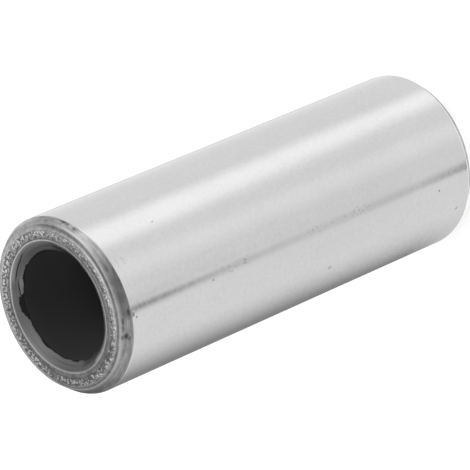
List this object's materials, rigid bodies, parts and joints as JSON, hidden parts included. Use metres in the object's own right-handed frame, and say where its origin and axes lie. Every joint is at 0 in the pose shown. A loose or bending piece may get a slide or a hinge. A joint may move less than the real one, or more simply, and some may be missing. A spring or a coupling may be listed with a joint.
{
  "type": "gudgeon pin",
  "caption": "Straight hollow gudgeon pin, ground outside, with raised stippled end faces, lead chamfers and a countersunk through bore; it links a piston to its connecting rod.",
  "frame": {"origin": "centre of the lower end face, on the pin's axis", "axes": "+Z along the pin's axis, up through the bore from the end face it stands on"},
  "size_m": [0.02, 0.02, 0.055],
  "materials": {
    "ground_steel": "ground and superfinished outside, coined ends, dark scale in the bore"
  },
  "bodies": {
    "root": {"gudgeon_pin": "ground_steel"}
  },
  "joints": []
}
